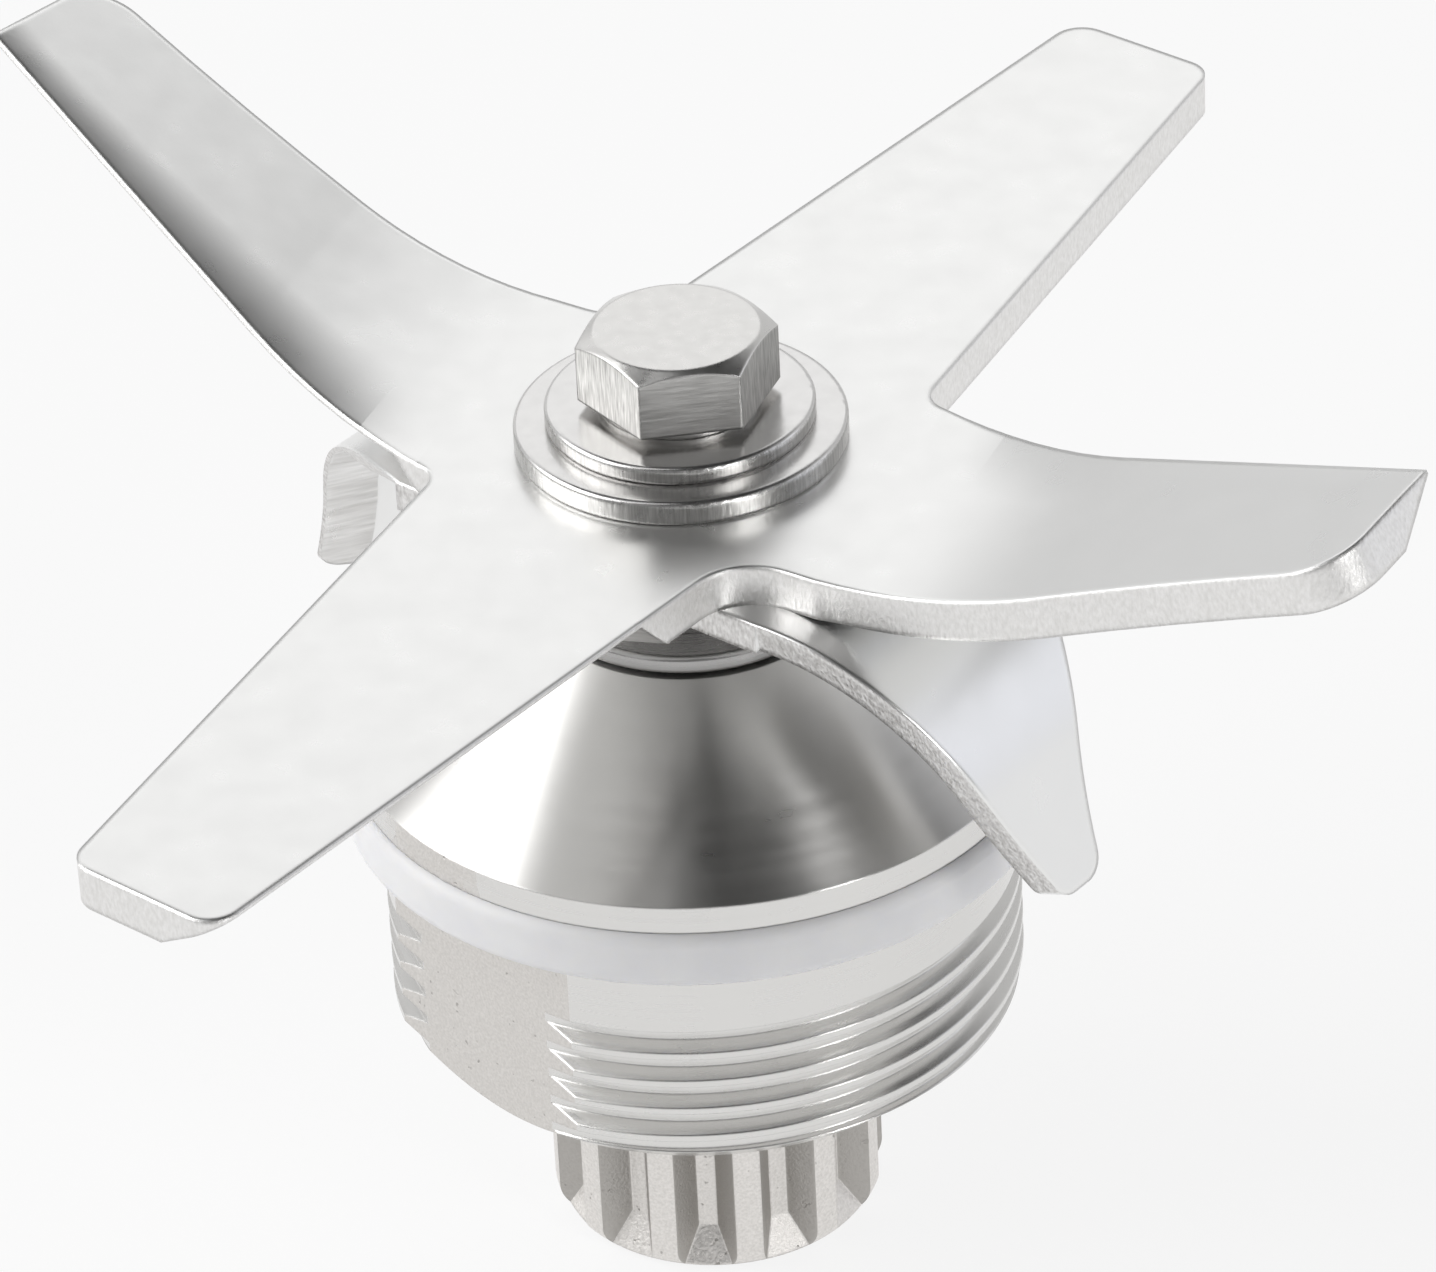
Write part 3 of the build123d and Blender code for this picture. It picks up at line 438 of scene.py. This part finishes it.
def fastenerSteel(name, finish):
    steel = formedSteel
    material, tree = newMaterial(name)
    place = millimetres(tree)
    onSide = facing(tree, (0, 0, 1), steel["sideFrom"], steel["sideTo"])
    onFront = facing(tree, (0, 1, 0), steel["frontFrom"], steel["frontTo"])
    onFront = addNode(tree, "Math", {0: onFront, 1: finish["frontLines"]}, operation="MULTIPLY")
    upright = addNode(tree, "VectorMath", {0: place, 1: steel["uprightSize"]}, operation="DIVIDE")
    upright = addNode(tree, "TexNoise", {"Vector": upright, "Scale": 1.0, "Detail": 4.0})
    level = addNode(tree, "VectorMath", {0: place, 1: steel["levelSize"]}, operation="DIVIDE")
    level = addNode(tree, "TexNoise", {"Vector": level, "Scale": 1.0, "Detail": 3.0})
    lines = addNode(tree, "Mix", {0: onFront, 2: upright, 3: level}, data_type="FLOAT")
    linesOnSide = addNode(tree, "Math", {0: lines, 1: onSide}, operation="MULTIPLY")
    skin = addNode(tree, "TexNoise", {"Vector": place, "Scale": 1 / steel["skinSize"], "Detail": 1.0})
    smudge = addNode(tree, "TexNoise", {"Vector": place, "Scale": 1 / steel["smudgeSize"], "Detail": 3.0})
    normal = addNode(tree, "Bevel", {"Radius": finish["edgeRadius"] / metre}, samples=edgeSamples)
    for height, depth in ((linesOnSide, finish["lineDepth"]), (skin, steel["skinDepth"])):
        normal = addNode(tree, "Bump", {"Height": height, "Distance": depth / metre, "Normal": normal})
    rough = addNode(tree, "MapRange", {"Value": smudge, **noiseSpan, "To Min": finish["roughLow"],
                                       "To Max": finish["roughHigh"]})
    rough = addNode(tree, "Math", {0: onSide, 1: steel["sideRougher"], 2: rough}, operation="MULTIPLY_ADD")
    lineShare = addNode(tree, "MapRange", {"Value": lines, **noiseSpan})
    # Painted light: the faces along Y are lifted this share of the way to the top's colour
    bright = addNode(tree, "Math", {0: onFront, 1: steel["frontPaintedLight"]}, operation="MULTIPLY")
    top = toLinear(finish["topHex"])
    side = addNode(tree, "Mix", {0: lineShare, 6: toLinear(finish["lineHex"]),
                                 7: toLinear(finish["sideHex"])}, 2, data_type="RGBA")
    side = addNode(tree, "Mix", {0: bright, 6: side, 7: top}, 2, data_type="RGBA")
    colour = addNode(tree, "Mix", {0: onSide, 6: top, 7: side}, 2, data_type="RGBA")
    shader = addNode(tree, "BsdfPrincipled", {"Base Color": colour, "Metallic": 1.0, "Roughness": rough,
                                              "Normal": normal})
    addNode(tree, "OutputMaterial", {"Surface": shader})
    return material


putOn("hex_bolt", fastenerSteel("cold-headed stainless", bolt))
washerSteel = fastenerSteel("stamped and barrelled stainless", washers)
for piece in ("bolt_washer", "blade_washer"):
    putOn(piece, washerSteel)

# Moulded silicone: milky white, light goes a little way in. Its fine skin is drawn coarser so that it shows
gasket = {
    "darkHex": "#f0f0f3",
    "lightHex": "#f6f6f8",
    "roughLow": 0.4,
    "roughHigh": 0.5,
    "ior": 1.41,
    "milkiness": 0.35,
    "lightDepth": (0.0016, 0.0017, 0.002),
    "cloudSize": 2.85714,
    "skinSize": 0.16667,
    "skinDepth": 0.004,
}


def silicone(name):
    material, tree = newMaterial(name)
    place = millimetres(tree)
    cloud = addNode(tree, "TexNoise", {"Vector": place, "Scale": 1 / gasket["cloudSize"], "Detail": 2.0})
    skin = addNode(tree, "TexNoise", {"Vector": place, "Scale": 1 / gasket["skinSize"], "Detail": 2.0})
    cloud = addNode(tree, "MapRange", {"Value": cloud, **noiseSpan})
    colour = addNode(tree, "Mix", {0: cloud, 6: toLinear(gasket["darkHex"]), 7: toLinear(gasket["lightHex"])},
                     2, data_type="RGBA")
    rough = addNode(tree, "MapRange", {"Value": skin, **noiseSpan, "To Min": gasket["roughLow"],
                                       "To Max": gasket["roughHigh"]})
    normal = addNode(tree, "Bump", {"Height": skin, "Distance": gasket["skinDepth"] / metre})
    shader = addNode(tree, "BsdfPrincipled", {"Base Color": colour, "Roughness": rough, "IOR": gasket["ior"],
                                              "Subsurface Weight": gasket["milkiness"],
                                              "Subsurface Radius": gasket["lightDepth"],
                                              "Subsurface Scale": 1.0, "Normal": normal})
    addNode(tree, "OutputMaterial", {"Surface": shader})
    return material


putOn("jar_gasket", silicone("moulded silicone"))

# Shaft, slinger, bearings, spacers and ring: turned or ground steel, and a darker oiled spring. The shaft's
# and slinger's colour is darker as painted shade
# Painted shade: the shaft and slinger's steel colour is darker than the bearings'
shaft = {"hex": "#b0afae", "roughLow": 0.22, "roughHigh": 0.32, "stretched": 0.5, "markDepth": 0.003,
         "edgeRadius": 0.1}
bearing = {"hex": "#cacaca", "roughLow": 0.12, "roughHigh": 0.2, "stretched": 0.4, "markDepth": 0.003,
           "edgeRadius": 0.1}
retainingRing = {"hex": "#77777a", "roughLow": 0.28, "roughHigh": 0.4, "stretched": 0.2, "markDepth": 0.003,
                 "edgeRadius": 0.1}


def turnedSteel(name, finish):
    material, tree = newMaterial(name)
    addNode(tree, "OutputMaterial", {"Surface": turnedLayer(tree, millimetres(tree), finish)})
    return material


shaftSteel = turnedSteel("turned shaft steel", shaft)
for piece in ("drive_shaft", "slinger"):
    putOn(piece, shaftSteel)
bearingSteel = turnedSteel("ground bearing steel", bearing)
for end in ("lower", "upper"):
    for piece in ("outer_ring", "inner_ring", "balls", "shields"):
        putOn(end + "_bearing_" + piece, bearingSteel)
for piece in ("outer_spacer", "inner_spacer"):
    putOn(piece, bearingSteel)
putOn("retaining_ring", turnedSteel("oiled spring steel", retainingRing))

# Cages and seal, hidden inside: ivory nylon and black rubber with the mould's fine dull skin
cage = {"darkHex": "#cfc8b4", "lightHex": "#d9d2c0", "roughLow": 0.45, "roughHigh": 0.55, "ior": 1.5,
        "skinSize": 0.25, "skinDepth": 0.01}
seal = {"darkHex": "#1b1b1c", "lightHex": "#262627", "roughLow": 0.5, "roughHigh": 0.65, "ior": 1.5,
        "skinSize": 0.25, "skinDepth": 0.01}


def moulded(name, finish):
    material, tree = newMaterial(name)
    place = millimetres(tree)
    skin = addNode(tree, "TexNoise", {"Vector": place, "Scale": 1 / finish["skinSize"], "Detail": 3.0})
    share = addNode(tree, "MapRange", {"Value": skin, **noiseSpan})
    colour = addNode(tree, "Mix", {0: share, 6: toLinear(finish["darkHex"]), 7: toLinear(finish["lightHex"])},
                     2, data_type="RGBA")
    rough = addNode(tree, "MapRange", {"Value": skin, **noiseSpan, "To Min": finish["roughLow"],
                                       "To Max": finish["roughHigh"]})
    normal = addNode(tree, "Bump", {"Height": skin, "Distance": finish["skinDepth"] / metre})
    shader = addNode(tree, "BsdfPrincipled", {"Base Color": colour, "IOR": finish["ior"], "Roughness": rough,
                                              "Normal": normal})
    addNode(tree, "OutputMaterial", {"Surface": shader})
    return material


cageNylon = moulded("moulded nylon", cage)
for end in ("lower", "upper"):
    putOn(end + "_bearing_cage", cageNylon)
putOn("shaft_seal", moulded("moulded nitrile rubber", seal))
print("stage: materials on the CAD nodes")

# Studio: a pale floor that keeps a soft shadow, and a surround that is bright behind and dark overhead
studio = {
    "floorReach": 3.0,
    "floorHex": "#f4f4f4",
    "floorWhite": 0.84,
    "frontFrom": -0.25,
    "frontLevel": 0.25,
    "backFrom": 0.35,
    "backLevel": 0.66,
    "overheadFrom": 0.55,
    "overheadTo": 0.86,
    "overheadLevel": 0.035,
    "aimPoint": (0, 0, 0.03),
}
lamps = {
    "keyBox": {"direction": (-0.80, -0.05, 0.60), "distance": 1.0, "size": (0.9, 0.75), "glow": 3.2},
    "overLeft": {"direction": (-0.30, -0.20, 0.93), "distance": 1.0, "size": (0.30, 0.5), "glow": 1.0},
    "backBox": {"direction": (-0.05, 0.66, 0.48), "distance": 0.82, "size": (0.95, 0.42), "glow": 0.55},
    "rightBox": {"direction": (0.95, 0.05, 0.26), "distance": 0.9, "size": (0.5, 0.5), "glow": 0.62,
                 "tint": "#eceffa"},
    "frontFill": {"direction": (0.63, -0.68, 0.37), "distance": 0.95, "size": (0.2, 0.45), "glow": 7.4},
}


# The floor is near white to the eye and in reflections, and plain paper to the light that falls on it
def floorMaterial():
    material, tree = newMaterial("pale studio floor")
    seen = 0.0
    for ray in ("Is Camera Ray", "Is Glossy Ray", "Is Transmission Ray"):
        onRay = addNode(tree, "LightPath", output=ray)
        seen = addNode(tree, "Math", {0: seen, 1: onRay}, operation="MAXIMUM")
    share = addNode(tree, "Math", {0: seen, 1: studio["floorWhite"]}, operation="MULTIPLY")
    paper = addNode(tree, "BsdfDiffuse", {"Color": toLinear(studio["floorHex"])})
    white = addNode(tree, "Emission", {"Color": (1, 1, 1, 1), "Strength": 1.0})
    addNode(tree, "OutputMaterial", {"Surface": addNode(tree, "MixShader", {0: share, 1: paper, 2: white})})
    return material


floorMesh = bpy.data.meshes.new("floor")
reach = studio["floorReach"]
corners = [(-reach, -reach, 0), (reach, -reach, 0), (reach, reach, 0), (-reach, reach, 0)]
floorMesh.from_pydata(corners, [], [(0, 1, 2, 3)])
floorMesh.materials.append(floorMaterial())
floor = bpy.data.objects.new("floor", floorMesh)
scene.collection.objects.link(floor)

world = bpy.data.worlds.new("studio")
scene.world = world
world.use_nodes = True
world.node_tree.nodes.clear()
worldTree = world.node_tree
direction = addNode(worldTree, "TexCoord", output="Generated")
backward = addNode(worldTree, "SeparateXYZ", {0: direction}, "Y")
upward = addNode(worldTree, "SeparateXYZ", {0: direction}, "Z")
around = addNode(worldTree, "MapRange", {"Value": backward, "From Min": studio["frontFrom"],
                                         "From Max": studio["backFrom"], "To Min": studio["frontLevel"],
                                         "To Max": studio["backLevel"]}, interpolation_type="SMOOTHSTEP")
overhead = addNode(worldTree, "MapRange", {"Value": upward, "From Min": studio["overheadFrom"],
                                           "From Max": studio["overheadTo"]}, interpolation_type="SMOOTHSTEP")
level = addNode(worldTree, "Mix", {0: overhead, 2: around, 3: studio["overheadLevel"]}, data_type="FLOAT")
sky = addNode(worldTree, "Background", {"Color": (1, 1, 1, 1), "Strength": level})
addNode(worldTree, "OutputWorld", {"Surface": sky})


# A lamp's glow is the brightness of its face, whatever its size
def softbox(name, direction, distance, size, glow, tint="#ffffff"):
    data = bpy.data.lights.new(name, "AREA")
    data.shape = "RECTANGLE"
    data.size, data.size_y = size
    data.energy = glow * math.pi * size[0] * size[1]
    data.color = toLinear(tint)[:3]
    lamp = bpy.data.objects.new(name, data)
    aim = Vector(direction).normalized()
    lamp.location = Vector(studio["aimPoint"]) + aim * distance
    lamp.rotation_euler = aim.to_track_quat("Z", "Y").to_euler()
    scene.collection.objects.link(lamp)


for name, lamp in lamps.items():
    softbox(name, **lamp)
print("stage: studio and camera")
